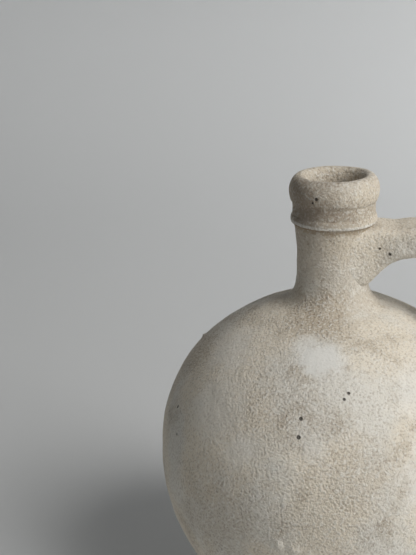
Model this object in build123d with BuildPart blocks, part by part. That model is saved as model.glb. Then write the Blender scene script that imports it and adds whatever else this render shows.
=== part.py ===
"""A one-handled clay jug, built up from separately thrown and modelled clay members.

A lower bowl and an upper dome are thrown apart and joined at the belly on a V-shaped ridge,
with a coil pressed over the seam from inside. A neck tube stands in a seat cut in the dome,
and a coil is smoothed round its foot. A thick collar sits on the neck's tenon, with a thin
ring round its lower edge. The strap handle butts on the neck and on the shoulder, and a flared
lump of clay is pressed round each of its ends.

Millimetres. The origin is the centre of the foot, +Z is up, and the handle points to +X.
"""

import os
from math import atan2, cos, degrees, radians, sin, sqrt, tan

from build123d import *

# Body: the outside of the two thrown halves.
foot_radius = 60.0
belly_radius = 127.0
belly_height = 137.5
shoulder_rise = 117.0
foot_flare = 40.4  # degrees from upright at which the flank leaves the foot
flank_pull = 0.467  # how far down the flank keeps the belly's upright tangent
foot_pull = 0.354  # how far up the flank keeps the foot's flare
wall = 7.0
floor_thickness = 9.0
floor_fillet = 12.0
foot_edge = 2.5
foot_ring_width = 9.0
foot_recess = 2.0
recess_taper = 30.0  # degrees

# Belly seam: a ridge on the lower half in a groove of the upper half, and a coil inside.
seam_ridge = 3.0
seam_coil_height = 18.0
seam_coil_depth = 3.5

# Neck, and the coil smoothed round its foot.
mouth_bore_radius = 20.0
neck_foot_radius = 26.8
neck_waist_radius = 25.9
neck_top_radius = 29.0
neck_length = 59.1  # from the shoulder's surface to the collar's lower edge
waist_rise = 24.8  # from the shoulder's surface to the waist
neck_seat_depth = 3.0
neck_coil_rise = 15.0
neck_coil_reach = 13.0
coil_edge = 0.8  # thickness of smoothed clay at its feather edge

# Collar and ring.
collar_height = 34.0
collar_socket_depth = 15.0
tenon_wall = 4.0
roll_radius = 32.6
roll_drop = 11.2  # from the top of the lip to the widest part of the roll
roll_wrap = 35.0  # degrees that the roll goes on under its widest part
lip_radius = 25.0
lip_depth = 9.5
cove_radius = 30.2
collar_foot_radius = 30.0
ring_radius = 31.3
ring_height = 5.4

# Handle: a strap with rounded edges, and the flared lumps round its ends.
strap_width = 38.0
strap_thickness = 20.0
strap_corner = 7.0
strap_drop = 16.0  # from the collar's lower edge to the strap's middle, at the waist
strap_rise = 9.0  # degrees that the top run climbs
strap_bend = 26.0
handle_reach = 82.0  # from the jug's axis to the corner that the bend rounds off
landing_inset = 31.0  # from the belly's edge in to where the leg meets the shoulder
root_sink = 6.0  # how deep a root's widest section lies under the surface it sits on
upper_root_length = 17.0
upper_root_width = 43.0
upper_root_height = 38.0
upper_root_drop = 5.5  # the root's middle under the strap's
lower_root_length = 26.0
lower_root_width = 50.0
lower_root_spread = 60.0


def shoulder_height(radius):
    """Height of the shoulder's surface at a radius."""
    return belly_height + shoulder_rise * sqrt(1 - (radius / belly_radius) ** 2)


# Sizes and places that follow from those above.
shoulder_top = shoulder_height(neck_foot_radius)
neck_seat = shoulder_top - neck_seat_depth
waist_height = shoulder_top + waist_rise
collar_bottom = shoulder_top + neck_length
tenon_top = collar_bottom + collar_socket_depth
lip_top = collar_bottom + collar_height
landing_radius = belly_radius - landing_inset
socket_bore_radius = mouth_bore_radius + tenon_wall


def flank(inset, base):
    """The lower half's outline from the belly down to the height base, moved in by inset."""
    slope = radians(foot_flare)
    rise = belly_height - base
    end_radius = foot_radius - inset / cos(slope) + base * tan(slope)
    pull = foot_pull * rise
    return Bezier(
        (belly_radius - inset, belly_height),
        (belly_radius - inset, belly_height - flank_pull * rise),
        (end_radius + pull * sin(slope), base + pull * cos(slope)),
        (end_radius, base),
    )


def dome(inset, opening):
    """The upper half's outline from the belly up to the radius opening, moved in by inset."""
    across = belly_radius - inset
    rise = shoulder_rise - inset
    share = opening / across
    turn = degrees(atan2(sqrt(1 - share**2), share))
    return EllipticalCenterArc((0, belly_height), across, rise, start_angle=0, arc_size=turn)


def neck_side():
    """The neck's outline from the shoulder's surface up to the collar."""
    return ThreePointArc(
        (neck_foot_radius, shoulder_top),
        (neck_waist_radius, waist_height),
        (neck_top_radius, collar_bottom),
    )


def seam_ridge_line():
    """The V of the belly seam across the wall."""
    return Polyline(
        (belly_radius - wall, belly_height),
        (belly_radius - wall / 2, belly_height + seam_ridge),
        (belly_radius, belly_height),
    )


# Lower half: a bowl with a flat foot, hollowed underneath to leave a standing ring.
with BuildPart() as lower_body:
    with BuildSketch(Plane.XZ):
        with BuildLine():
            outside = flank(0, 0)
            inside = flank(wall, floor_thickness)
            seam_ridge_line()
            Polyline(outside @ 1, (0, 0), (0, floor_thickness), inside @ 1)
        make_face()
    revolve(axis=Axis.Z)
    inner_corner = lower_body.edges().filter_by_position(Axis.Z, floor_thickness, floor_thickness)
    fillet(inner_corner, floor_fillet)
    fillet(lower_body.edges().group_by(Axis.Z)[0], foot_edge)
    with BuildSketch(Plane.XY):
        Circle(foot_radius - foot_edge - foot_ring_width)
    extrude(amount=foot_recess, taper=recess_taper, mode=Mode.SUBTRACT)
lower_body.part.label = "lower_body"

# Upper half: the shoulder dome, with a stepped seat for the neck round its opening.
with BuildPart() as upper_body:
    with BuildSketch(Plane.XZ):
        with BuildLine():
            outside = dome(0, mouth_bore_radius)
            inside = dome(wall, mouth_bore_radius)
            seam_ridge_line()
            Line(outside @ 1, inside @ 1)
        make_face()
    revolve(axis=Axis.Z)
    with BuildSketch(Plane.XY.offset(neck_seat)):
        Circle(neck_foot_radius)
    extrude(amount=shoulder_rise, mode=Mode.SUBTRACT)
upper_body.part.label = "upper_body"

# Coil pressed over the belly seam from inside: a flat half-round ring.
with BuildPart() as belly_seam_coil:
    with BuildSketch(Plane.XZ):
        with Locations((belly_radius - wall, belly_height)):
            Ellipse(seam_coil_depth, seam_coil_height / 2)
    revolve(axis=Axis.Z)
    add(lower_body.part, mode=Mode.SUBTRACT)
    add(upper_body.part, mode=Mode.SUBTRACT)
belly_seam_coil.part.label = "belly_seam_coil"

# Neck: a waisted tube, its foot in the seat and a tenon at its top for the collar.
with BuildPart() as neck:
    with BuildSketch(Plane.XZ):
        with BuildLine():
            side = neck_side()
            Polyline(
                side @ 1,
                (socket_bore_radius, collar_bottom),
                (socket_bore_radius, tenon_top),
                (mouth_bore_radius, tenon_top),
                (mouth_bore_radius, neck_seat),
                (neck_foot_radius, neck_seat),
                side @ 0,
            )
        make_face()
    revolve(axis=Axis.Z)
neck.part.label = "neck"

# All that the outside of the body and neck encloses, to shape what is pressed onto it.
with BuildPart() as thrown_form:
    with BuildSketch(Plane.XZ):
        with BuildLine():
            lower_side = flank(0, 0)
            dome(0, neck_foot_radius)
            side = neck_side()
            Polyline(side @ 1, (0, collar_bottom), (0, 0), lower_side @ 1)
        make_face()
    revolve(axis=Axis.Z)

# Coil smoothed round the neck's foot: a hollow curve from the neck out onto the shoulder.
with BuildPart() as neck_coil:
    with BuildSketch(Plane.XZ):
        with BuildLine():
            coil_radius = neck_foot_radius + neck_coil_reach
            coil_top = shoulder_top + neck_coil_rise
            coil_foot = shoulder_height(coil_radius) + coil_edge
            hollow = EllipticalCenterArc(
                (coil_radius, coil_top),
                neck_coil_reach - coil_edge,
                coil_top - coil_foot,
                start_angle=180,
                arc_size=90,
            )
            Polyline(
                hollow @ 0,
                (mouth_bore_radius, coil_top),
                (mouth_bore_radius, neck_seat - neck_coil_reach),
                (coil_radius, neck_seat - neck_coil_reach),
                hollow @ 1,
            )
        make_face()
    revolve(axis=Axis.Z)
    add(thrown_form.part, mode=Mode.SUBTRACT)
neck_coil.part.label = "neck_coil"

# Collar: a socket on the neck's tenon, a hollowed band, and a rolled lip over it.
with BuildPart() as collar:
    with BuildSketch(Plane.XZ):
        with BuildLine():
            roll = EllipticalCenterArc(
                (lip_radius, lip_top - roll_drop),
                roll_radius - lip_radius,
                roll_drop,
                start_angle=-roll_wrap,
                arc_size=90 + roll_wrap,
            )
            lip = EllipticalCenterArc(
                (lip_radius, lip_top - lip_depth),
                lip_radius - mouth_bore_radius,
                lip_depth,
                start_angle=90,
                arc_size=90,
            )
            cove_height = ((roll @ 0).Y + collar_bottom) / 2
            ThreePointArc(roll @ 0, (cove_radius, cove_height), (collar_foot_radius, collar_bottom))
            Polyline(
                (collar_foot_radius, collar_bottom),
                (socket_bore_radius, collar_bottom),
                (socket_bore_radius, tenon_top),
                (mouth_bore_radius, tenon_top),
                lip @ 1,
            )
        make_face()
    revolve(axis=Axis.Z)
collar.part.label = "collar"

# Ring: a thin half-round coil round the collar's lower edge.
with BuildPart() as string_ring:
    with BuildSketch(Plane.XZ):
        with Locations((collar_foot_radius, collar_bottom + ring_height / 2)):
            Ellipse(ring_radius - collar_foot_radius, ring_height / 2)
    revolve(axis=Axis.Z)
    add(collar.part, mode=Mode.SUBTRACT)
string_ring.part.label = "string_ring"

# Handle: the strap's middle line, from inside the neck, over the bend, into the shoulder.
strap_height = collar_bottom - strap_drop
corner_height = strap_height + (handle_reach - neck_waist_radius) * tan(radians(strap_rise))
landing = Vector(landing_radius, 0, shoulder_height(landing_radius))
corner = Vector(handle_reach, 0, corner_height)
leg_direction = (landing - corner).normalized()
run_direction = Vector(cos(radians(strap_rise)), 0, sin(radians(strap_rise)))
run_start = corner - run_direction * handle_reach
leg_end = landing + leg_direction * strap_thickness

with BuildPart() as handle_strap:
    with BuildLine():
        strap_line = FilletPolyline(run_start, corner, leg_end, radius=strap_bend)
    with BuildSketch(Plane(run_start, x_dir=(0, 1, 0), z_dir=run_direction)):
        RectangleRounded(strap_width, strap_thickness, strap_corner)
    sweep(path=strap_line)
    add(thrown_form.part, mode=Mode.SUBTRACT)
handle_strap.part.label = "handle_strap"

# Upper root: a lump pressed round the strap on the neck, flaring as it goes in.
run_reach = neck_waist_radius + upper_root_length
run_point = corner - run_direction * ((handle_reach - run_reach) / run_direction.X)
with BuildPart() as handle_upper_root:
    with BuildSketch(Plane(run_point, x_dir=(0, 1, 0), z_dir=run_direction)):
        RectangleRounded(strap_width + 2 * coil_edge, strap_thickness + 2 * coil_edge, strap_corner)
    root_middle = Vector(neck_waist_radius / 2, 0, strap_height - upper_root_drop)
    with BuildSketch(Plane(root_middle, x_dir=(0, 1, 0), z_dir=(1, 0, 0))):
        RectangleRounded(upper_root_width, upper_root_height, strap_corner)
    loft()
    add(thrown_form.part, mode=Mode.SUBTRACT)
    add(neck_coil.part, mode=Mode.SUBTRACT)
    add(handle_strap.part, mode=Mode.SUBTRACT)
handle_upper_root.part.label = "handle_upper_root"

# Lower root: the same on the shoulder, its wide end laid along the slope there.
slope_across = landing.X / belly_radius**2
slope_up = (landing.Z - belly_height) / shoulder_rise**2
outward = Vector(slope_across, 0, slope_up).normalized()
leg_point = landing - leg_direction * lower_root_length
with BuildPart() as handle_lower_root:
    with BuildSketch(Plane(landing - outward * root_sink, x_dir=(0, 1, 0), z_dir=outward)):
        RectangleRounded(lower_root_width, lower_root_spread, strap_corner)
    with BuildSketch(Plane(leg_point, x_dir=(0, 1, 0), z_dir=-leg_direction)):
        RectangleRounded(strap_width + 2 * coil_edge, strap_thickness + 2 * coil_edge, strap_corner)
    loft()
    add(thrown_form.part, mode=Mode.SUBTRACT)
    add(handle_strap.part, mode=Mode.SUBTRACT)
handle_lower_root.part.label = "handle_lower_root"

os.makedirs("parts", exist_ok=True)
pieces = (
    lower_body,
    upper_body,
    belly_seam_coil,
    neck,
    neck_coil,
    collar,
    string_ring,
    handle_strap,
    handle_upper_root,
    handle_lower_root,
)
for piece in pieces:
    export_step(piece.part, f"parts/{piece.part.label}.step")
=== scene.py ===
"""A one-handled clay jug, modelled as its separate clay members round their fixed frame.

Every member is a closed piece of its own: two thrown body halves with a coil over the seam
inside, the neck and the coil round its foot, the collar and its ring, and the strap handle with
a lump of clay at each end. Lengths are in metres, +Z is up, the origin is the centre of the
foot, and the handle points to +X.
"""

from math import atan2, cos, degrees, hypot, pi, radians, sin, sqrt, tan

import bmesh
import bpy
from bpy.props import FloatProperty, FloatVectorProperty, PointerProperty
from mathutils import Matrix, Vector


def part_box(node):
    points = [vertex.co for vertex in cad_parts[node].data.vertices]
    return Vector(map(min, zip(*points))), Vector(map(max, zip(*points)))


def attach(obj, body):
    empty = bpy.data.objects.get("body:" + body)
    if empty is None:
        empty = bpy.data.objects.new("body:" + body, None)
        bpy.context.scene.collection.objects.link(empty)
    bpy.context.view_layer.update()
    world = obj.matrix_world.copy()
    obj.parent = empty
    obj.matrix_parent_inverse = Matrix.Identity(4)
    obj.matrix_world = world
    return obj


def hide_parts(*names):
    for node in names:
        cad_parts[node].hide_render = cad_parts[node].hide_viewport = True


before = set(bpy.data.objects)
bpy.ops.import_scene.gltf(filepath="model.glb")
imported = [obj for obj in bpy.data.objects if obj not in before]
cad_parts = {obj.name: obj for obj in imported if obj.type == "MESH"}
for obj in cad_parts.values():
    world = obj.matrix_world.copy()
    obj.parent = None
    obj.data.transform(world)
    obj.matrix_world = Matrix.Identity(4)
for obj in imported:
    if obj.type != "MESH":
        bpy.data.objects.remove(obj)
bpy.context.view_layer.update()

bl_info = {
    "name": "Clay Jug",
    "version": (1, 0, 0),
    "blender": (4, 5, 0),
    "location": "3D View > Sidebar > Clay Jug",
    "description": "Builds a one-handled clay jug from its separate clay members",
    "category": "Add Mesh",
}

MM = 0.001
BODY = "root"
# Points that are closer than this are one point.
SAME_POINT = 1e-6


def linear(hex_colour):
    """Turns an sRGB hex colour into linear red, green and blue."""
    channels = [int(hex_colour[i : i + 2], 16) / 255 for i in (1, 3, 5)]
    return tuple(c / 12.92 if c <= 0.04045 else ((c + 0.055) / 1.055) ** 2.4 for c in channels)


def length(name, description, default):
    """A length property in metres."""
    return FloatProperty(name=name, description=description, default=default, min=0.0, unit="LENGTH")


def colour(name, description, hex_colour):
    """A colour property, given as sRGB hex."""
    return FloatVectorProperty(
        name=name, description=description, default=linear(hex_colour), subtype="COLOR", min=0, max=1
    )


# ---------------------------------------------------------------------------- sizes and colours


class JugBodySizes(bpy.types.PropertyGroup):
    """Sizes of the two thrown halves of the body."""

    belly_radius: length("Belly Radius", "Widest radius of the body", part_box("upper_body")[1].x)
    belly_height: length("Belly Height", "Height of the belly seam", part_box("upper_body")[0].z)
    dome_rise: length("Dome Rise", "Height of the shoulder's ellipse over the belly", 117 * MM)
    foot_radius: length("Foot Radius", "Outer radius of the foot", 60 * MM)
    foot_edge: length("Foot Edge", "Rounding of the foot's edge", 3 * MM)
    foot_recess: length("Foot Recess", "Depth of the hollow under the foot", 2 * MM)
    foot_ring: length("Foot Ring", "Width of the standing ring", 11 * MM)
    foot_flare: FloatProperty(
        name="Foot Flare",
        description="Angle from upright at which the flank leaves the foot",
        default=radians(40.4),
        subtype="ANGLE",
    )
    wall: length("Wall", "Thickness of the thrown wall", 7 * MM)
    floor: length("Floor", "Thickness of the floor", 9 * MM)
    mesh: length("Mesh", "Size of the faces on the outside", 1.7 * MM)


class JugNeckSizes(bpy.types.PropertyGroup):
    """Sizes of the neck, the collar and the ring."""

    bore_radius: length("Bore Radius", "Radius of the mouth's bore", 20 * MM)
    foot_radius: length("Foot Radius", "Radius of the neck where it meets the shoulder", 26.8 * MM)
    waist_radius: length("Waist Radius", "Narrowest radius of the neck", 25.9 * MM)
    waist_rise: length("Waist Rise", "Height of the waist over the shoulder", 24.8 * MM)
    top_radius: length("Top Radius", "Radius of the neck under the collar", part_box("neck")[1].x)
    coil_reach: length("Coil Reach", "How far the coil spreads on the shoulder", 13 * MM)
    roll_radius: length("Roll Radius", "Widest radius of the rolled lip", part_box("collar")[1].x)
    roll_drop: length("Roll Drop", "From the lip's top to the roll's widest part", 11.2 * MM)
    lip_radius: length("Lip Radius", "Radius of the lip's crest", 25.2 * MM)
    lip_depth: length("Lip Depth", "Depth of the rounding inside the lip", 9.5 * MM)
    cove_radius: length("Cove Radius", "Radius of the hollow band under the roll", 30.2 * MM)
    ring_radius: length("Ring Radius", "Outer radius of the ring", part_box("string_ring")[1].x)
    mesh: length("Mesh", "Size of the faces on the outside", 0.9 * MM)


class JugHandleSizes(bpy.types.PropertyGroup):
    """Sizes of the strap handle."""

    width: length("Width", "Width of the strap", 39 * MM)
    thickness: length("Thickness", "Thickness of the strap", 22 * MM)
    reach: length("Reach", "From the axis to the corner that the bend rounds", 82 * MM)
    bend: length("Bend", "Radius of the strap's middle line in its bend", 26 * MM)
    landing: length("Landing", "Radius at which the leg meets the shoulder", 96 * MM)
    rise: FloatProperty(
        name="Rise", description="Angle that the top run climbs", default=radians(9), subtype="ANGLE"
    )


class JugColours(bpy.types.PropertyGroup):
    """Colours of the fired clay and the slip on it."""

    slip: colour("Slip", "Warm chalky slip", "#E2D9C9")
    cool: colour("Cool Slip", "Slip that dried cooler and greyer", "#DAD7CF")
    # Along the ring's widest part this chalk is laid on as worn slip and as a painted highlight.
    chalk_and_highlight: colour("Chalk", "Thick cool white slip", "#E4E3DE")
    clay: colour("Clay", "Coarse clay where the slip is thin", "#B0A390")
    grit: colour("Grit", "Dark grains in the clay", "#85725F")
    # In the collar's cove under the roll this colour is a stain and also painted shade.
    soot_and_shade: colour("Soot", "Brown-grey stain", "#6E6154")
    # Painted shade under the ring's undercut, with the tint of an ochre stain.
    ochre_and_undercut_shade: colour("Ochre", "Iron stain in undercuts", "#7A6138")
    # The pits' insides are painted near black as painted shade.
    pit_shade: colour("Pit", "Inside of a pinhole", "#2E2822")
    floor: colour("Floor", "Paper sweep under and behind the jug", "#D2D3D3")


class JugSettings(bpy.types.PropertyGroup):
    """All that can be set on the jug."""

    body: PointerProperty(type=JugBodySizes)
    neck: PointerProperty(type=JugNeckSizes)
    handle: PointerProperty(type=JugHandleSizes)
    colours: PointerProperty(type=JugColours)


# ------------------------------------------------------------------------------------- outlines


def sweep_points(centre, across, up, start, end, spacing):
    """Points along an elliptical arc from one angle to another, in degrees."""
    count = max(3, round(radians(abs(end - start)) * (across + up) / 2 / spacing))
    angles = [radians(start + (end - start) * i / count) for i in range(count + 1)]
    return [(centre[0] + across * cos(a), centre[1] + up * sin(a)) for a in angles]


def curve_points(start, first, second, end, spacing):
    """Points along a cubic curve with two handles."""
    longer = 1.1
    span = hypot(end[0] - start[0], end[1] - start[1])
    count = max(3, round(span * longer / spacing))
    corners = (start, first, second, end)
    points = []
    for i in range(count + 1):
        t = i / count
        shares = ((1 - t) ** 3, 3 * (1 - t) ** 2 * t, 3 * (1 - t) * t**2, t**3)
        points.append(tuple(sum(s * p[k] for s, p in zip(shares, corners)) for k in (0, 1)))
    return points


def straight(start, end, spacing):
    """Evenly spaced points along a straight line."""
    count = max(1, round(hypot(end[0] - start[0], end[1] - start[1]) / spacing))
    return [tuple(start[k] + (end[k] - start[k]) * i / count for k in (0, 1)) for i in range(count + 1)]


def joined(*stretches):
    """One outline from several stretches, without the points that repeat."""
    outline = []
    for point in (p for stretch in stretches for p in stretch):
        if not outline or hypot(point[0] - outline[-1][0], point[1] - outline[-1][1]) > SAME_POINT:
            outline.append(point)
    return outline


def shoulder_height(body, radius, inset=0.0):
    """Height of the shoulder's outside at a radius, or of a surface set in from it."""
    across, up = body.belly_radius - inset, body.dome_rise - inset
    return body.belly_height + up * sqrt(1 - (radius / across) ** 2)


def flank(body, inset, base, spacing):
    """The lower half's outline, from its base up to the belly."""
    # How far the curve keeps its direction at the foot and at the belly, as shares of its rise.
    foot_pull, belly_pull = 0.354, 0.467
    slope = body.foot_flare
    rise = body.belly_height - base
    end_radius = body.foot_radius - inset / cos(slope) + base * tan(slope)
    pull = foot_pull * rise
    return curve_points(
        (end_radius, base),
        (end_radius + pull * sin(slope), base + pull * cos(slope)),
        (body.belly_radius - inset, body.belly_height - belly_pull * rise),
        (body.belly_radius - inset, body.belly_height),
        spacing,
    )


def dome(body, inset, opening, spacing):
    """The upper half's outline, from the belly up to an opening."""
    across, up = body.belly_radius - inset, body.dome_rise - inset
    top = shoulder_height(body, opening, inset) - body.belly_height
    end = degrees(atan2(top / up, opening / across))
    return sweep_points((0, body.belly_height), across, up, 0, end, spacing)


def coil_curve(body, neck, spacing):
    """The hollow curve from the shoulder up onto the neck."""
    # The curve keeps to the shoulder's slope for a share of its reach, ends at a share of its reach
    # over the shoulder, and leans in a little at the top, where it stands inside the neck's foot.
    keep, climb, sunk, lean, lead = 0.55, 1.15, 0.4 * MM, 0.2 * MM, 4 * MM
    foot = neck.foot_radius + neck.coil_reach
    foot_height = shoulder_height(body, foot)
    slope = body.dome_rise**2 * foot / (body.belly_radius**2 * (foot_height - body.belly_height))
    inner = neck.foot_radius - sunk
    meet = foot_height + slope * neck.coil_reach
    return curve_points(
        (foot, foot_height),
        (foot - neck.coil_reach * keep, foot_height + slope * neck.coil_reach * keep),
        (inner, meet + lead),
        (inner - lean, meet + neck.coil_reach * climb),
        spacing,
    )


def neck_curve(neck, shoulder, collar_bottom, spacing):
    """The neck's outside: a parabola through its foot, its waist and its top."""
    count = round((collar_bottom - shoulder) / spacing)
    points = []
    low, mid, high = 0.0, neck.waist_rise, collar_bottom - shoulder
    for i in range(count + 1):
        h = high * i / count
        radius = (
            neck.foot_radius * (h - mid) * (h - high) / ((low - mid) * (low - high))
            + neck.waist_radius * (h - low) * (h - high) / ((mid - low) * (mid - high))
            + neck.top_radius * (h - low) * (h - mid) / ((high - low) * (high - mid))
        )
        points.append((radius, shoulder + h))
    return points


# ------------------------------------------------------------------------------ modelling helpers


def start_object(name):
    """Names the object just added and opens it in edit mode."""
    piece = bpy.context.object
    piece.name = piece.data.name = name
    bpy.ops.object.mode_set(mode="EDIT")
    return piece


def close_object(piece):
    """Leaves edit mode and puts the object's origin at the frame's, with its place in its mesh."""
    bpy.ops.object.mode_set(mode="OBJECT")
    bpy.ops.object.transform_apply(location=True, rotation=True, scale=True)
    return piece


def point_outwards(piece):
    """Merges doubles and points the faces of a closed piece outwards."""
    only(piece)
    bpy.ops.object.mode_set(mode="EDIT")
    bpy.ops.mesh.select_all(action="SELECT")
    bpy.ops.mesh.remove_doubles(threshold=SAME_POINT)
    bpy.ops.mesh.normals_make_consistent(inside=False)
    bpy.ops.object.mode_set(mode="OBJECT")


def only(piece):
    """Selects one object and makes it the active one."""
    bpy.ops.object.select_all(action="DESELECT")
    piece.select_set(True)
    bpy.context.view_layer.objects.active = piece


def finish(piece, kind, **settings):
    """Adds a modifier with its settings and applies it."""
    only(piece)
    modifier = piece.modifiers.new(kind, kind)
    for key, value in settings.items():
        setattr(modifier, key, value)
    bpy.ops.object.modifier_apply(modifier=modifier.name)


def turned(name, outline, steps, closed=True):
    """Draws an outline of (radius, height) points and turns it round the upright axis."""
    bpy.ops.object.select_all(action="DESELECT")
    bpy.ops.mesh.primitive_plane_add(size=MM, location=(outline[0][0], 0, outline[0][1]))
    piece = start_object(name)
    bpy.ops.mesh.merge(type="CENTER")
    for here, there in zip(outline, outline[1:]):
        step = (there[0] - here[0], 0, there[1] - here[1])
        bpy.ops.mesh.extrude_region_move(TRANSFORM_OT_translate={"value": step})
    if closed:
        bpy.ops.mesh.select_all(action="SELECT")
        bpy.ops.mesh.remove_doubles(threshold=SAME_POINT)
    close_object(piece)
    finish(
        piece, "SCREW", axis="Z", angle=2 * pi, steps=steps, render_steps=steps, screw_offset=0,
        use_merge_vertices=True, merge_threshold=SAME_POINT,
    )
    point_outwards(piece)
    return piece


def cut(piece, point, normal):
    """Keeps the part of a piece behind a plane and closes the cut."""
    only(piece)
    bpy.ops.object.mode_set(mode="EDIT")
    bpy.ops.mesh.select_all(action="SELECT")
    bpy.ops.mesh.bisect(plane_co=point, plane_no=normal, use_fill=True, clear_outer=True)
    bpy.ops.object.mode_set(mode="OBJECT")


def twin(piece, name):
    """A copy of a piece with its own mesh."""
    only(piece)
    bpy.ops.object.duplicate(linked=False)
    copy = bpy.context.object
    copy.name = copy.data.name = name
    return copy


# How the clay was worked: the kind of unevenness, how wide it is, how far it can move the surface
# and how many finer sizes lie on top of it.
HAND_WORK = (
    ("out_of_true", 90 * MM, 2.2 * MM, 1),
    ("palm_marks", 30 * MM, 0.9 * MM, 1),
    ("finger_marks", 11 * MM, 0.5 * MM, 2),
)
# Below this height the unevenness fades out.
FLAT_FOOT = 25 * MM


def work_by_hand(piece):
    """Moves the surface by the unevenness of hand work, the same at the same place on every piece.

    The marks fade out towards the foot, which stands flat.
    """
    free = piece.vertex_groups.new(name="free")
    vertices = piece.data.vertices
    free.add([v.index for v in vertices if v.co.z >= FLAT_FOOT], 1.0, "REPLACE")
    for vertex in vertices:
        if vertex.co.z < FLAT_FOOT:
            free.add([vertex.index], max(0.0, vertex.co.z / FLAT_FOOT) ** 2, "REPLACE")
    for name, size, depth, octaves in HAND_WORK:
        texture = bpy.data.textures.get(name) or bpy.data.textures.new(name, "CLOUDS")
        texture.cloud_type = "COLOR"
        texture.noise_scale = size
        texture.noise_depth = octaves
        finish(
            piece, "DISPLACE", texture=texture, texture_coords="GLOBAL", direction="RGB_TO_XYZ",
            mid_level=0.5, strength=depth, vertex_group="free",
        )


def on_jug(turn, rise, radius=None):
    """A place on the jug's outside, at a turn round the axis in degrees.

    On the body the rise is an angle in degrees from the belly. Above it the place has a radius
    from the axis, and its rise is a height, both in mm.
    """
    body = bpy.context.scene.clay_jug.body
    if radius is None:
        half = body.dome_rise if rise > 0 else body.belly_height
        radius = body.belly_radius * cos(radians(rise))
        height = body.belly_height + half * sin(radians(rise))
    else:
        radius, height = radius * MM, rise * MM
    return Vector((radius * cos(radians(turn)), radius * sin(radians(turn)), height))


# Crumbs of clay stuck in the slip: the turn and rise on the body, the reach and the height in mm.
# A crumb's top is flat over a share of its reach.
CRUMB_TOP = 0.55
CRUMBS = (
    ((-105, -8), 3.4, 1.3), ((-100, -9), 4.2, 1.1), ((170, 40), 2.6, 1.3),
    ((60, 15), 3.6, 1.0), ((25, -12), 3.0, 1.1), ((130, 30), 3.0, 1.0),
)


def stick_crumbs(piece):
    """Raises the crumbs that lie on a body half."""
    belly = bpy.context.scene.clay_jug.body.belly_height
    only(piece)
    bpy.ops.object.mode_set(mode="EDIT")
    for place, reach, height in CRUMBS:
        middle = on_jug(*place)
        outward = (middle - Vector((0, 0, belly))).normalized()
        pick_points(piece, lambda c: (c - middle).length < CRUMB_TOP * reach * MM)
        bpy.ops.transform.translate(
            value=tuple(outward * height * MM), use_proportional_edit=True,
            proportional_edit_falloff="SMOOTH", proportional_size=reach * MM,
        )
    bpy.ops.object.mode_set(mode="OBJECT")


def hand_in(piece, material):
    """Gives a finished piece its shading, its material and the node of the frame it stands for."""
    only(piece)
    bpy.ops.object.shade_smooth_by_angle(angle=radians(50))
    piece.data.materials.clear()
    piece.data.materials.append(material)
    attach(piece, BODY)
    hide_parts(piece.name.removeprefix("clay_"))


def open_mesh(piece):
    """The mesh of a piece that is in edit mode, with nothing selected."""
    mesh = bmesh.from_edit_mesh(piece.data)
    for element in (*mesh.verts, *mesh.edges, *mesh.faces):
        element.select = False
    return mesh


def pick_faces(piece, where):
    """Selects in edit mode only the faces whose middle passes a test."""
    mesh = open_mesh(piece)
    for face in mesh.faces:
        if where(face.calc_center_median()):
            face.select_set(True)
    bmesh.update_edit_mesh(piece.data)


def pick_points(piece, where):
    """Selects in edit mode only the points that pass a test."""
    mesh = open_mesh(piece)
    for point in mesh.verts:
        point.select = where(point.co)
    mesh.select_flush_mode()
    bmesh.update_edit_mesh(piece.data)


class Pull:
    """The end face of a bar of clay that is pulled on from one section to the next."""

    def __init__(self, middle, tilt, width, depth):
        self.middle, self.tilt, self.width, self.depth = Vector(middle), tilt, width, depth

    def to(self, middle, tilt, width, depth):
        """Extrudes the selected end face to a new middle, tilt about Y, width and depth."""
        middle = Vector(middle)
        bpy.ops.mesh.extrude_region_move(TRANSFORM_OT_translate={"value": tuple(middle - self.middle)})
        bpy.ops.transform.rotate(value=tilt - self.tilt, orient_axis="Y", center_override=tuple(middle))
        grow = (depth / self.depth, width / self.width, depth / self.depth)
        bpy.ops.transform.resize(value=grow, center_override=tuple(middle))
        self.middle, self.tilt, self.width, self.depth = middle, tilt, width, depth


# ---------------------------------------------------------------------------------- materials


def node(tree, kind, **settings):
    """Adds a node. A setting is a property, an input's value or a socket that feeds the input."""
    new = tree.nodes.new(kind)
    for key, value in settings.items():
        if key in new.bl_rna.properties and not key.startswith("in_"):
            setattr(new, key, value)
            continue
        name = key.removeprefix("in_")
        target = new.inputs[int(name) if name.isdigit() else name]
        if isinstance(value, bpy.types.NodeSocket):
            tree.links.new(value, target)
        else:
            target.default_value = value
    return new


# Where the surface differs from place to place: the place, as for on_jug, the reach in mm and
# how much.
CHALK_PATCHES = (
    ((-95, 55), 17, 0.85), ((-105, 60), 11, 0.6), ((-150, 50), 20, 0.45), ((-135, 30), 26, 0.4),
    ((-120, 20), 14, 0.4), ((-95, 25), 9, 0.35), ((-55, 15), 26, 0.6), ((-50, 40), 22, 0.4),
    ((65, 30), 24, 0.7), ((140, 15), 26, 0.6),
)
DIRTY_PATCHES = (
    ((-105, 70), 26, 0.9), ((-175, 40), 26, 0.7), ((-80, 15), 30, 0.5), ((-125, -5), 40, 0.5),
    ((-115, 35), 26, 0.3), ((-85, 0), 34, 0.3), ((-82, 52), 2.6, 1.0), ((115, 60), 30, 0.7),
    ((60, 10), 36, 0.5), ((-25, 296, 48), 9, 0.4),
)
STAINS = (
    ((-130, 327, 31), 24, 0.62), ((-85, 320, 30), 14, 0.3), ((-165, 300, 27), 14, 0.2),
    ((55, 322, 30), 16, 0.4),
)
# The pits that gas left, whose insides are painted dark as painted shade: the place and the reach in mm.
PINHOLES = (
    ((-100, 34), 1.4), ((-100, 28), 1.5), ((-82, 43), 1.1), ((-84, 41), 1.1), ((-158, 22), 1.3),
    ((-152, 14), 1.2), ((-30, 296, 38), 1.1), ((-25, 292, 44), 1.2), ((-112, 334, 32), 1.3),
    ((-117, 331, 31.5), 1.1), ((-68, 324, 31.5), 1.0),
)
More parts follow.
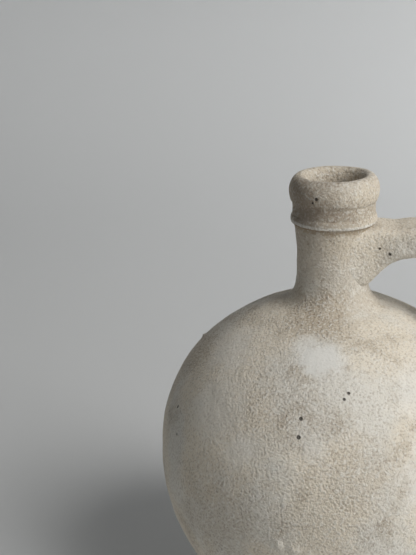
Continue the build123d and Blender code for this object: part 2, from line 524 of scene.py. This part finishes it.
# How far apart the scattered pits may lie, and how wide the clouds of cool slip, the worn places,
# the middling and small unevenness, the dark grains and the light specks are.
PINHOLE_SPACING = 24 * MM
COOL_CLOUD, WORN_PLACE, MIDDLING, SMALL = 60 * MM, 48 * MM, 14 * MM, 4.0 * MM
DARK_GRAIN, LIGHT_SPECK = 1.6 * MM, 1.9 * MM


class Recipe:
    """The nodes of one finish, and the few kinds of node that it is mixed from."""

    def __init__(self, name, colours):
        self.material = bpy.data.materials.new(name)
        self.material.use_nodes = True
        self.tree = self.material.node_tree
        self.tree.nodes.clear()
        self.colours = colours
        self.place = node(self.tree, "ShaderNodeTexCoord").outputs["Object"]

    def noise(self, size, detail, roughness, shift):
        """Cloudy noise whose patches are about as wide as size, taken from a shifted place."""
        moved = node(
            self.tree, "ShaderNodeMapping", in_Vector=self.place, in_Location=(shift, shift * 0.7, -shift)
        )
        return node(
            self.tree, "ShaderNodeTexNoise", in_Vector=moved.outputs[0], in_Scale=1 / size,
            in_Detail=detail, in_Roughness=roughness,
        ).outputs["Fac"]

    def step(self, value, start, end, low=0.0, high=1.0):
        """A soft step from low to high while a value goes from start to end."""
        return node(
            self.tree, "ShaderNodeMapRange", interpolation_type="SMOOTHSTEP", in_Value=value, in_1=start,
            in_2=end, in_3=low, in_4=high,
        ).outputs[0]

    def maths(self, operation, first, second=0.0):
        """One sum on two values."""
        return node(self.tree, "ShaderNodeMath", operation=operation, in_0=first, in_1=second).outputs[0]

    def plus(self, first, second):
        """The sum of two values."""
        return self.maths("ADD", first, second)

    def minus(self, first, second):
        """What is left of one value without another."""
        return self.maths("SUBTRACT", first, second)

    def times(self, first, second):
        """One value scaled by another."""
        return self.maths("MULTIPLY", first, second)

    def most(self, first, second):
        """The larger of two values."""
        return self.maths("MAXIMUM", first, second)

    def over(self, share, under, colour_name):
        """One of the jug's colours laid over what is there, by a share."""
        paint = (*getattr(self.colours, colour_name), 1.0)
        return node(
            self.tree, "ShaderNodeMix", data_type="RGBA", in_0=share, in_6=under, in_7=paint
        ).outputs[2]

    def spots(self, marks, ragged, start, end):
        """The strongest of several round marks, with their edges made ragged by a value."""
        total = None
        for where, reach, strength in marks:
            away = node(
                self.tree, "ShaderNodeVectorMath", operation="DISTANCE", in_0=self.place,
                in_1=on_jug(*where),
            ).outputs["Value"]
            share = self.plus(self.maths("DIVIDE", away, reach * MM), ragged)
            share = self.step(share, start, end, strength, 0.0)
            total = share if total is None else self.most(total, share)
        return total


def band_colours_and_painted_light(mix, tone, bands, ragged):
    """The colours of the bands round the jug, laid over a tone; some are painted shade and painted
    highlight.
    """
    height_over_floor = node(mix.tree, "ShaderNodeSeparateXYZ", in_Vector=mix.place).outputs[2]
    for height, reach, colour_name, share in bands:
        away = mix.maths("ABSOLUTE", mix.minus(height_over_floor, height * MM))
        away = mix.plus(mix.maths("DIVIDE", away, reach * MM), mix.times(ragged, 0.7))
        tone = mix.over(mix.step(away, 0.3, 1.2, share, 0.0), tone, colour_name)
    return tone


def pinholes(mix):
    """Where the surface has pits: a few scattered all over, and those that have their own place."""
    cells = node(
        mix.tree, "ShaderNodeTexVoronoi", in_Vector=mix.place, in_Scale=1 / PINHOLE_SPACING,
        in_Randomness=1.0,
    )
    lot = node(mix.tree, "ShaderNodeSeparateColor", in_Color=cells.outputs["Color"]).outputs[0]
    chosen = mix.step(lot, 0.70, 0.74)
    scattered = mix.times(mix.step(cells.outputs["Distance"], 0.015, 0.035, 1.0, 0.0), chosen)
    return mix.most(scattered, mix.spots([(*pinhole, 1.0) for pinhole in PINHOLES], 0.0, 0.6, 1.15))


def clay_surface(name, colours, dirt, grain, bands):
    """Fired coarse clay under a brushed chalky slip.

    The slip is matt and nearly white, thick in some places and worn to the grogged clay in
    others, where grains of about a millimetre stand out and gas has left pinholes, whose insides
    are painted dark as painted shade. The grains are drawn a little coarser than sand, so that
    they show. Dirt is the least wear it has everywhere, and grain is the height of the grains.
    Bands give a height in mm, how far the colour reaches each way, the colour and how much of
    it; some bands are painted shade and painted highlight round the neck, the collar and the ring.
    """
    mix = Recipe(name, colours)
    middling = mix.noise(MIDDLING, 3.0, 0.6, 1.7)
    small = mix.noise(SMALL, 2.0, 0.6, 3.1)
    grains = mix.noise(DARK_GRAIN, 1.0, 0.6, 0.0)
    specks = mix.noise(LIGHT_SPECK, 1.0, 0.5, 5.0)
    ragged = mix.times(mix.minus(middling, 0.5), 1.6)
    ragged = mix.plus(ragged, mix.times(mix.minus(small, 0.5), 0.9))

    # Thick cool slip, in clouds and in a few patches of their own.
    clouds = mix.plus(mix.noise(COOL_CLOUD, 2.0, 0.5, 7.3), mix.times(ragged, 0.10))
    cool = mix.step(clouds, 0.42, 0.62, 0.0, 0.8)
    smooth = mix.spots(CHALK_PATCHES, ragged, 0.40, 1.30)
    # Slip worn and stained brown.
    worn = mix.plus(mix.noise(WORN_PLACE, 3.0, 0.6, 0.31), mix.times(ragged, 0.12))
    worn = mix.most(mix.step(worn, 0.50, 0.80), mix.spots(DIRTY_PATCHES, ragged, 0.25, 1.5))
    worn = mix.times(mix.most(worn, dirt), mix.minus(1.0, smooth))
    stained = mix.spots(STAINS, ragged, 0.2, 1.5)

    slip = (*colours.slip, 1.0)
    tone = mix.over(cool, slip, "cool")
    tone = mix.over(mix.times(worn, 0.8), tone, "clay")
    tone = mix.over(mix.times(smooth, 0.9), tone, "chalk_and_highlight")
    tone = mix.over(stained, tone, "soot_and_shade")
    tone = band_colours_and_painted_light(mix, tone, bands, ragged)

    # Dark grains and light specks, fewer where the slip is thick, and the pits, painted near black as
    # painted shade.
    rough = mix.plus(mix.times(worn, 0.4), 0.6)
    rough = mix.times(rough, mix.minus(1.0, mix.times(smooth, 0.9)))
    tone = mix.over(mix.times(mix.step(grains, 0.48, 0.70), mix.times(rough, 0.55)), tone, "grit")
    light = mix.times(mix.times(rough, 0.55), mix.minus(1.0, stained))
    tone = mix.over(mix.times(mix.step(specks, 0.50, 0.68), light), tone, "chalk_and_highlight")
    pits = pinholes(mix)
    tone = mix.over(mix.times(pits, 0.85), tone, "pit_shade")

    height = mix.times(mix.minus(mix.plus(specks, mix.times(small, 0.5)), grains), rough)
    height = mix.plus(height, mix.times(mix.minus(middling, 0.5), 0.9))
    height = mix.minus(height, mix.times(pits, 1.6))
    bump = node(mix.tree, "ShaderNodeBump", in_Strength=1.0, in_Distance=grain, in_Height=height)
    shader = node(
        mix.tree, "ShaderNodeBsdfPrincipled", in_Roughness=0.9, in_Normal=bump.outputs[0], in_IOR=1.5
    )
    shader.inputs["Specular IOR Level"].default_value = 0.2
    mix.tree.links.new(tone, shader.inputs["Base Color"])
    node(mix.tree, "ShaderNodeOutputMaterial", in_Surface=shader.outputs[0])
    return mix.material


# For each finish its name, the least wear it has everywhere, the depth of its grain and its bands.
FINISHES = {
    # The neck's bands: ochre at 309.4 mm is painted shade under the collar's ring, with a stain's tint;
    # clay at 292 mm darkens the neck and the shoulder round it as browner worn slip and as painted shade;
    # clay at 256 mm is painted shade on the upward-facing shoulder.
    "slipped_clay": ("chalky_slip_on_coarse_clay", 0.0, 0.85 * MM, (
        (309.4, 3.0, "ochre_and_undercut_shade", 0.6), (292, 34, "clay", 0.5), (256, 10, "clay", 0.5))),
    # The collar's bands: soot at 322 mm is a stain and painted shade in the cove under the roll; chalk at
    # 312.4 mm is worn slip and a painted highlight along the ring's widest part; ochre at 310.6 mm is
    # painted shade under the ring, with a stain's tint.
    "lip_clay": ("worn_slip_on_coarse_clay", 0.6, 0.7 * MM, (
        (322, 7, "soot_and_shade", 0.22), (312.4, 1.3, "chalk_and_highlight", 0.6), (310.6, 0.9, "ochre_and_undercut_shade", 0.8))),
    "handle_clay": ("smoothed_slip_on_coarse_clay", 0.3, 0.8 * MM, ()),
    "bare_clay": ("bare_coarse_clay", 1.0, 0.8 * MM, ()),
}


def jug_material(kind):
    """The finish of one member, made once and shared by the pieces that have it."""
    name, dirt, grain, bands = FINISHES[kind]
    made = bpy.data.materials.get(name)
    return made or clay_surface(name, bpy.context.scene.clay_jug.colours, dirt, grain, bands)


# --------------------------------------------------------------------------------- body halves


# Faces that only show through the mouth or under the foot are larger by this factor.
COARSER = 2.2
# How the bowl inside rounds into the floor: it leaves the wall at this height over the floor, led
# by these places, inwards and up from the floor, in mm.
BOWL_RISE = 9 * MM
BOWL_LEADS = ((4, 1.5), (9, 0), (18, 0))
# How deep the neck stands in the shoulder.
NECK_SEAT = 3 * MM


def lower_outline(body):
    """The lower half's section: the recess and the ring underneath, the flank and the bowl."""
    fine, coarse = body.mesh, body.mesh * COARSER
    edge, slope = body.foot_edge, body.foot_flare
    ring_inner = body.foot_radius - body.foot_ring
    corner = (body.foot_radius, 0)
    foot_end = (body.foot_radius + edge * sin(slope), edge * cos(slope))
    under = straight((0, body.foot_recess), (ring_inner - body.foot_recess, body.foot_recess), coarse)
    rest = straight((ring_inner, 0), (body.foot_radius - edge, 0), fine)
    rounding = curve_points((body.foot_radius - edge, 0), corner, corner, foot_end, edge / 5)
    outside = [p for p in flank(body, 0, 0, fine) if p[1] > foot_end[1] + fine / 2]
    hollow = [p for p in flank(body, body.wall, body.floor, coarse) if p[1] > body.floor + BOWL_RISE]
    leads = [(hollow[0][0] - inwards * MM, body.floor + up * MM) for inwards, up in BOWL_LEADS]
    bowl = curve_points(hollow[0], *leads, coarse)
    floor = straight(bowl[-1], (0, body.floor), coarse)
    return joined(under, rest, rounding, outside, list(reversed(hollow)), bowl, floor)


def upper_outline(body, neck):
    """The upper half's section: the dome, the seat for the neck and the dome's inside."""
    seat = shoulder_height(body, neck.foot_radius) - NECK_SEAT
    crown = dome(body, 0, neck.foot_radius, body.mesh)
    hollow = list(reversed(dome(body, body.wall, neck.bore_radius, body.mesh * COARSER)))
    return joined(crown, [(neck.foot_radius, seat), (neck.bore_radius, seat)], hollow, [crown[0]])


class JUG_OT_body(bpy.types.Operator):
    """Turns the two thrown halves of the body, which meet at the belly"""

    bl_idname = "jug.body"
    bl_label = "Body Halves"

    def execute(self, context):
        body, neck = context.scene.clay_jug.body, context.scene.clay_jug.neck
        steps = round(2 * pi * body.belly_radius / body.mesh)
        lower = turned("clay_lower_body", lower_outline(body), steps, closed=False)
        upper = turned("clay_upper_body", upper_outline(body, neck), steps)
        for piece in (lower, upper):
            stick_crumbs(piece)
            work_by_hand(piece)
            hand_in(piece, jug_material("slipped_clay"))
        return {"FINISHED"}


# How far the seam's coil stands in from the wall, and the sizes of its faces.
SEAM_COIL_SWELL = 3.5 * MM
SEAM_COIL_MESH = 1.5 * MM
SEAM_COIL_STEP = 4 * MM


class JUG_OT_seam_coil(bpy.types.Operator):
    """Presses the coil over the belly seam, inside the body"""

    bl_idname = "jug.seam_coil"
    bl_label = "Belly Seam Coil"

    def execute(self, context):
        body = context.scene.clay_jug.body
        low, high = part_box("belly_seam_coil")
        wall = body.belly_radius - body.wall
        outline = sweep_points(
            (wall, body.belly_height), SEAM_COIL_SWELL, (high.z - low.z) / 2, 90, 270, SEAM_COIL_MESH
        )
        outline += straight(outline[-1], outline[0], 2 * SEAM_COIL_MESH)
        coil = turned("clay_belly_seam_coil", outline, round(2 * pi * wall / SEAM_COIL_STEP))
        work_by_hand(coil)
        hand_in(coil, jug_material("bare_clay"))
        return {"FINISHED"}


# -------------------------------------------------------------------------------- neck and lip


# The wall of the neck's tenon, which the collar sits over.
TENON_WALL = 4 * MM
# How deep the coil round the neck's foot is sunk in the neck and in the shoulder, and how many more
# faces it has round it than the neck.
COIL_SINK = 0.3 * MM
COIL_MORE_STEPS = 40


class JUG_OT_neck(bpy.types.Operator):
    """Turns the neck with its tenon, and the coil smoothed round its foot"""

    bl_idname = "jug.neck"
    bl_label = "Neck and Coil"

    def execute(self, context):
        body, neck = context.scene.clay_jug.body, context.scene.clay_jug.neck
        shoulder = shoulder_height(body, neck.foot_radius)
        seat, tenon_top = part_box("neck")[0].z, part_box("neck")[1].z
        collar_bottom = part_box("collar")[0].z
        tenon = neck.bore_radius + TENON_WALL
        side = neck_curve(neck, shoulder, collar_bottom, neck.mesh)
        outline = joined(
            [(neck.foot_radius, seat)], side,
            [(tenon, collar_bottom), (tenon, tenon_top), (neck.bore_radius, tenon_top)],
            straight((neck.bore_radius, tenon_top), (neck.bore_radius, seat), 2 * neck.mesh),
            [(neck.foot_radius, seat)],
        )
        steps = round(2 * pi * neck.foot_radius / neck.mesh)
        tube = turned("clay_neck", outline, steps)
        curve = coil_curve(body, neck, neck.mesh)
        coil_reach, coil_top = curve[0][0] - COIL_SINK, curve[-1][1] - COIL_SINK
        back = [(r - COIL_SINK, h) for r, h in reversed(side) if h < coil_top]
        crown = reversed(dome(body, 0, neck.foot_radius, neck.mesh))
        under = [(r, h - COIL_SINK) for r, h in crown if r < coil_reach]
        coil = turned("clay_neck_coil", joined(curve, back, under, [curve[0]]), steps + COIL_MORE_STEPS)
        for piece in (tube, coil):
            work_by_hand(piece)
            hand_in(piece, jug_material("slipped_clay"))
        return {"FINISHED"}


# The collar: its lower edge's radius, the angle at which the roll starts under its widest part,
# and the ledge between the hollow band and the roll, inwards and down.
COLLAR_FOOT = 30 * MM
ROLL_START = -35
LEDGE_IN, LEDGE_DOWN = 0.8 * MM, 0.7 * MM
# The places that lead the hollow band: out from the cove's radius and up from the lower edge, in mm.
BAND_LEADS = ((0.2, 4), (-0.9, 12))
# The ring: the radius that it is rounded out from, that of its back, the height of its widest part
# over the collar's lower edge, how far it goes under and over that part, and the size of its faces.
RING_ROUNDING, RING_BACK = 29.7 * MM, 29 * MM
RING_MIDDLE, RING_UNDER, RING_OVER = 2.2 * MM, 2.1 * MM, 4.4 * MM
RING_MESH = 0.5 * MM


def collar_outline(neck, bottom, top, tenon_top):
    """The collar's section: the hollow band, the roll, the rounding into the bore and the socket."""
    tenon = neck.bore_radius + TENON_WALL
    roll = sweep_points(
        (neck.lip_radius, top - neck.roll_drop), neck.roll_radius - neck.lip_radius, neck.roll_drop,
        ROLL_START, 90, neck.mesh,
    )
    lip = sweep_points(
        (neck.lip_radius, top - neck.lip_depth), neck.lip_radius - neck.bore_radius, neck.lip_depth,
        90, 180, neck.mesh,
    )
    foot = (COLLAR_FOOT, bottom)
    leads = [(neck.cove_radius + out * MM, bottom + up * MM) for out, up in BAND_LEADS]
    band = curve_points(foot, *leads, (roll[0][0] - LEDGE_IN, roll[0][1] - LEDGE_DOWN), neck.mesh)
    bore = straight(lip[-1], (neck.bore_radius, tenon_top), 2 * neck.mesh)
    return joined(band, roll, lip, bore, [(tenon, tenon_top), (tenon, bottom), foot])


def ring_outline(neck, bottom):
    """The ring's section, rounded less below its widest part than above it."""
    middle = bottom + RING_MIDDLE
    out = neck.ring_radius - RING_ROUNDING
    return joined(
        sweep_points((RING_ROUNDING, middle), out, RING_UNDER, -90, 0, RING_MESH),
        sweep_points((RING_ROUNDING, middle), out, RING_OVER, 0, 90, RING_MESH),
        [(RING_BACK, middle), (RING_ROUNDING, middle - RING_UNDER)],
    )


class JUG_OT_collar(bpy.types.Operator):
    """Turns the rolled collar on the neck's tenon, and the ring round its lower edge"""

    bl_idname = "jug.collar"
    bl_label = "Collar and Ring"

    def execute(self, context):
        neck = context.scene.clay_jug.neck
        bottom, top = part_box("collar")[0].z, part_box("collar")[1].z
        steps = round(2 * pi * neck.roll_radius / neck.mesh)
        collar = turned("clay_collar", collar_outline(neck, bottom, top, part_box("neck")[1].z), steps)
        ring = turned("clay_string_ring", ring_outline(neck, bottom), steps)
        for piece in (collar, ring):
            work_by_hand(piece)
            hand_in(piece, jug_material("lip_clay"))
        return {"FINISHED"}


# --------------------------------------------------------------------------------------- handle


# How far under the collar the run's line leaves the neck's waist.
RUN_DROP = 16.6 * MM
# Where the upper root ends and the strap begins, from the axis.
ROOT_END = 47 * MM
# Where the lower root ends and the strap begins, up the leg from the shoulder.
LEG_CUT = 30 * MM
# Levels across the strap's thickness, with the share of its width that each has.
STRAP_LEVELS = ((0.5, 0.94), (0.25, 1.0), (0.0, 0.965), (-0.25, 1.03), (-0.5, 0.84))
# Sections in the bend, and shares of the leg at which the strap has one.
BEND_SECTIONS = 8
LEG_SECTIONS = (0.2, 0.4)
# Sections of the lower root, in mm: height over the shoulder, how far it is turned to lie along
# the shoulder, width, depth and shift uphill.
LOWER_ROOT_SECTIONS = (
    (34, 0.00, 39, 20.5, 0), (24, 0.10, 39.5, 21.5, 0), (16, 0.30, 41, 25, 0), (10, 0.55, 43, 31, 0.5),
    (5.5, 0.80, 45.5, 38, 1), (2.0, 1.0, 49, 45, 1.5), (-1.6, 1.0, 55, 54, 2), (-4.2, 1.0, 61, 62, 2),
    (-6.3, 1.0, 66, 68, 2),
)
# Sections of the upper root, in mm: distance from the axis, top, bottom and width, and how much of
# that width the lower part has.
UPPER_ROOT_SECTIONS = (
    (42, 308.8, 284.2, 39.6, 0.95), (37.5, 309.2, 280.5, 40.2, 0.90), (33.5, 309.5, 276, 40.8, 0.85),
    (30.5, 309.6, 272.3, 41.4, 0.82), (28, 309.6, 269, 42.4, 0.80), (24, 309.6, 265.5, 44, 0.80),
    (18, 309.6, 265, 46.6, 0.86), (13, 309.6, 268, 49.2, 0.92), (9, 309.4, 271, 51, 0.95),
    (5, 309, 275, 51.6, 0.96), (0, 308.5, 280, 50.4, 0.96),
)
# How deep the handle is pressed into the walls' outside.
PRESS = 0.4 * MM
# Points of the lower root that lie this far under the shoulder are laid on it, the deeper the more.
LAID = ((-1 * MM, 0.4), (-3 * MM, 0.8), (-5 * MM, 1.0))
# The upper root lies all above this height.
BETWEEN_ROOTS = 250 * MM


class HandleLine:
    """The line that the strap follows: out along the run, round the bend and down the leg."""

    def __init__(self, jug):
        body, neck, handle = jug.body, jug.neck, jug.handle
        climb = (handle.reach - neck.waist_radius) * tan(handle.rise)
        corner = Vector((handle.reach, 0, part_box("collar")[0].z - RUN_DROP + climb))
        self.landing = Vector((handle.landing, 0, shoulder_height(body, handle.landing)))
        self.run = Vector((cos(handle.rise), 0, sin(handle.rise)))
        self.leg = (self.landing - corner).normalized()
        self.bend_angle = self.run.angle(self.leg)
        self.leg_tilt = handle.rise - self.bend_angle
        setback = handle.bend * tan(self.bend_angle / 2)
        self.bend_start = corner - self.run * setback
        self.bend_middle = self.bend_start + Vector((self.run.z, 0, -self.run.x)) * handle.bend
        self.leg_start = corner + self.leg * setback
        back = self.bend_start.x - ROOT_END
        self.root_end = Vector((ROOT_END, 0, self.bend_start.z - back * tan(handle.rise)))
        # Straight out from the shoulder where the leg lands, and the tilt that lies along it.
        self.outward = Vector((
            self.landing.x / body.belly_radius**2, 0,
            (self.landing.z - body.belly_height) / body.dome_rise**2,
        )).normalized()
        self.slope_tilt = self.leg_tilt - (-self.leg).angle(self.outward)


def strap_block(line, handle):
    """Adds the run as a block with hollowed sides, and leaves it in edit mode."""
    run_length = (line.bend_start - line.root_end).length
    middle = (line.bend_start + line.root_end) / 2
    bpy.ops.object.select_all(action="DESELECT")
    bpy.ops.mesh.primitive_cube_add(
        size=1, location=middle, rotation=(0, -handle.rise, 0),
        scale=(run_length, handle.width, handle.thickness),
    )
    strap = close_object(start_object("clay_handle_strap"))
    bpy.ops.object.mode_set(mode="EDIT")
    bpy.ops.mesh.select_all(action="SELECT")
    bpy.ops.mesh.subdivide(number_cuts=3)
    upright = Vector((-line.run.z, 0, line.run.x))
    for level, share in STRAP_LEVELS:
        pick_points(strap, lambda c: abs((c - middle).dot(upright) - level * handle.thickness) < MM)
        bpy.ops.transform.resize(value=(1, share, 1), center_override=tuple(middle))
    return strap


def pull_leg(strap, line, handle):
    """Pulls the strap round the bend and down the leg, and flares it along the shoulder."""
    pick_faces(strap, lambda c: (c - line.bend_start).dot(line.run) > -MM / 10)
    end = Pull(line.bend_start, handle.rise, handle.width, handle.thickness)
    for i in range(1, BEND_SECTIONS + 1):
        tilt = handle.rise - line.bend_angle * i / BEND_SECTIONS
        radius = Vector((-sin(tilt), 0, cos(tilt))) * handle.bend
        end.to(line.bend_middle + radius, tilt, handle.width, handle.thickness)
    for share in LEG_SECTIONS:
        middle = line.leg_start.lerp(line.landing, share)
        end.to(middle, line.leg_tilt, handle.width, handle.thickness)
    uphill = Vector((-line.outward.z, 0, line.outward.x))
    for above, share, width, depth, shift in LOWER_ROOT_SECTIONS:
        middle = line.landing - line.leg.lerp(-line.outward, share) * above * MM + uphill * shift * MM
        tilt = line.leg_tilt + (line.slope_tilt - line.leg_tilt) * share
        end.to(middle, tilt, width * MM, depth * MM)


def pull_upper_root(strap, line, handle):
    """Pulls the strap's other end into the neck, flaring down and round it."""
    pick_faces(strap, lambda c: (c - line.root_end).dot(line.run) < MM / 10)
    end = Pull(line.root_end, handle.rise, handle.width, handle.thickness)
    for reach, top, bottom, width, _ in UPPER_ROOT_SECTIONS:
        end.to((reach * MM, 0, (top + bottom) / 2 * MM), 0.0, width * MM, (top - bottom) * MM)
    # The lowest points of each section go in by their share, those above them by half of it.
    for reach, top, bottom, _, share in UPPER_ROOT_SECTIONS:
        for level, narrower in ((0.4, share), (0.6, (1 + share) / 2)):
            limit = (bottom + (top - bottom) * level) * MM
            above = limit - 0.25 * (top - bottom) * MM if level > 0.5 else 0
            pick_points(strap, lambda c: abs(c.x - reach * MM) < MM / 10 and above < c.z < limit)
            bpy.ops.transform.resize(value=(1, narrower, 1), center_override=(reach * MM, 0, 0))


def pressing_form(body, neck):
    """Turns the outside that the handle is pressed on, a little inside the walls' own."""
    shoulder = shoulder_height(body, neck.foot_radius)
    coil_end = shoulder + 16 * MM
    profile = joined(
        dome(body, 0, neck.foot_radius + neck.coil_reach, 2 * MM),
        coil_curve(body, neck, MM),
        [p for p in neck_curve(neck, shoulder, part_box("collar")[0].z, MM) if p[1] > coil_end],
    )
    profile = [(r - PRESS, h - PRESS * (h < shoulder)) for r, h in profile]
    outline = joined([(0, profile[0][1])], profile, [(0, profile[-1][1])])
    return turned("form", outline, 240, closed=False)


def press_on(strap, form, line):
    """Lays the lower flare on the shoulder, smooths the handle and cuts away what is in the walls."""
    laid = strap.vertex_groups.new(name="laid")
    for vertex in strap.data.vertices:
        height = (vertex.co - line.landing).dot(line.outward)
        shares = [share for depth, share in LAID if height < depth]
        if shares and vertex.co.z < BETWEEN_ROOTS:
            laid.add([vertex.index], shares[-1], "REPLACE")
    finish(
        strap, "SHRINKWRAP", target=form, wrap_method="NEAREST_SURFACEPOINT",
        wrap_mode="ON_SURFACE", vertex_group="laid", offset=-PRESS,
    )
    finish(strap, "SUBSURF", levels=3, render_levels=3)
    finish(strap, "BOOLEAN", operation="DIFFERENCE", object=form, solver="EXACT")
    only(form)
    bpy.ops.object.delete()
    point_outwards(strap)


class JUG_OT_handle(bpy.types.Operator):
    """Pulls the strap handle, presses its flared ends on the jug and parts its two roots from it"""

    bl_idname = "jug.handle"
    bl_label = "Handle"

    def execute(self, context):
        jug = context.scene.clay_jug
        line = HandleLine(jug)
        strap = strap_block(line, jug.handle)
        pull_leg(strap, line, jug.handle)
        pull_upper_root(strap, line, jug.handle)
        bpy.ops.object.mode_set(mode="OBJECT")
        press_on(strap, pressing_form(jug.body, jug.neck), line)
        work_by_hand(strap)

        # The roots are parted from the strap across the run and across the leg.
        upper_root = twin(strap, "clay_handle_upper_root")
        lower_root = twin(strap, "clay_handle_lower_root")
        leg_cut = line.landing - line.leg * LEG_CUT
        cut(upper_root, line.root_end, line.run)
        cut(lower_root, leg_cut, -line.leg)
        cut(strap, line.root_end, -line.run)
        cut(strap, leg_cut, line.leg)
        for piece in (strap, upper_root, lower_root):
            hand_in(piece, jug_material("handle_clay"))
        return {"FINISHED"}


# ---------------------------------------------------------------------------------------- stage


# The paper sweep, in metres: the radius of its flat floor, that of its bend and its wall's top.
SWEEP_FLOOR, SWEEP_BEND, SWEEP_TOP = 1.2, 2.4, 3.6
# The lamps: place, what they point at, size, power in watts and tint.
LAMPS = {
    "window": ((1.44, -0.88, 1.88), (0.0, 0.0, 0.2), (1.3, 1.3), 41, (1.0, 0.992, 0.975)),
    "low_window": ((1.40, -1.35, 0.95), (0.0, 0.0, 0.2), (1.5, 1.3), 7, (1.0, 0.992, 0.975)),
    "wall_wash": ((1.65, 1.40, 1.15), (1.0, 2.6, 0.1), (1.0, 1.0), 29, (0.985, 0.995, 1.0)),
    "ceiling": ((0.3, 0.3, 2.6), (0.3, 0.3, 0.0), (2.0, 2.0), 1.5, (0.95, 0.98, 1.0)),
    "back_fill": ((-0.5, 2.0, 1.3), (0.0, 0.0, 0.2), (1.2, 1.2), 3, (0.97, 0.985, 1.0)),
}
ROOM_TINT, ROOM_LIGHT = (0.92, 0.96, 1.0, 1), 0.01
# The camera: how far beside and before the axis it stands and how far over the lip, in metres, how
# far it looks down, leans and turns, in degrees, and its lens and sensor in mm.
CAMERA_BESIDE, CAMERA_BEFORE, CAMERA_OVER_LIP = 0.0024, 0.8365, 0.2034
CAMERA_DOWN, CAMERA_LEAN, CAMERA_TURN = 18.579, 0.627, 6.1445
CAMERA_LENS, CAMERA_SENSOR = 78.3, 36


def paper_sweep(paint):
    """Adds the round sweep of matt paper under and behind the jug."""
    middle = (SWEEP_FLOOR, SWEEP_BEND)
    wall = SWEEP_FLOOR + SWEEP_BEND
    outline = joined(
        straight((0, 0), (SWEEP_FLOOR, 0), 0.1),
        sweep_points(middle, SWEEP_BEND, SWEEP_BEND, -90, 0, 0.08),
        straight((wall, SWEEP_BEND), (wall, SWEEP_TOP), 0.2),
    )
    sweep = turned("paper_sweep", outline, 128, closed=False)
    bpy.ops.object.shade_smooth()
    paper = bpy.data.materials.new("matt_paper")
    paper.use_nodes = True
    shader = paper.node_tree.nodes["Principled BSDF"]
    shader.inputs["Base Color"].default_value = (*paint, 1)
    shader.inputs["Roughness"].default_value = 0.95
    shader.inputs["Specular IOR Level"].default_value = 0.1
    sweep.data.materials.append(paper)


def hang_lamps(scene):
    """Adds the soft lamps, which the camera doesn't see, and the room's own light."""
    for name, (place, aim, size, power, tint) in LAMPS.items():
        bpy.ops.object.light_add(type="AREA", location=place)
        lamp = bpy.context.object
        lamp.name = name
        lamp.rotation_euler = (Vector(aim) - Vector(place)).to_track_quat("-Z", "Y").to_euler()
        lamp.data.shape = "RECTANGLE"
        lamp.data.size, lamp.data.size_y = size
        lamp.data.energy = power
        lamp.data.color = tint
        lamp.visible_camera = False
    world = bpy.data.worlds.new("room")
    world.use_nodes = True
    world.node_tree.nodes["Background"].inputs["Color"].default_value = ROOM_TINT
    world.node_tree.nodes["Background"].inputs["Strength"].default_value = ROOM_LIGHT
    scene.world = world


def place_camera(scene):
    """Adds the camera, before the jug and a little over its lip."""
    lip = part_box("collar")[1].z
    bpy.ops.object.camera_add(
        location=(CAMERA_BESIDE, -CAMERA_BEFORE, lip + CAMERA_OVER_LIP),
        rotation=(radians(90 - CAMERA_DOWN), radians(CAMERA_LEAN), radians(CAMERA_TURN)),
    )
    camera = bpy.context.object
    camera.name = "camera"
    camera.data.sensor_width = CAMERA_SENSOR
    camera.data.lens = CAMERA_LENS
    scene.camera = camera


class JUG_OT_stage(bpy.types.Operator):
    """Sets up the paper sweep, the soft light and the camera"""

    bl_idname = "jug.stage"
    bl_label = "Stage"

    def execute(self, context):
        paper_sweep(context.scene.clay_jug.colours.floor)
        hang_lamps(context.scene)
        place_camera(context.scene)
        context.scene.view_settings.view_transform = "Standard"
        return {"FINISHED"}


class JUG_PT_panel(bpy.types.Panel):
    """Lists the jug's members in the sidebar"""

    bl_label = "Clay Jug"
    bl_idname = "JUG_PT_panel"
    bl_space_type = "VIEW_3D"
    bl_region_type = "UI"
    bl_category = "Clay Jug"

    def draw(self, context):
        for operator in OPERATORS:
            self.layout.operator(operator.bl_idname)


OPERATORS = (JUG_OT_body, JUG_OT_seam_coil, JUG_OT_neck, JUG_OT_collar, JUG_OT_handle, JUG_OT_stage)
CLASSES = (JugBodySizes, JugNeckSizes, JugHandleSizes, JugColours, JugSettings, *OPERATORS, JUG_PT_panel)


def register():
    for cls in CLASSES:
        bpy.utils.register_class(cls)
    bpy.types.Scene.clay_jug = PointerProperty(type=JugSettings)


def unregister():
    del bpy.types.Scene.clay_jug
    for cls in reversed(CLASSES):
        bpy.utils.unregister_class(cls)


def main():
    """Builds every member and the stage."""
    register()
    bpy.ops.jug.body()
    bpy.ops.jug.seam_coil()
    bpy.ops.jug.neck()
    bpy.ops.jug.collar()
    bpy.ops.jug.handle()
    bpy.ops.jug.stage()


if __name__ == "__main__":
    main()
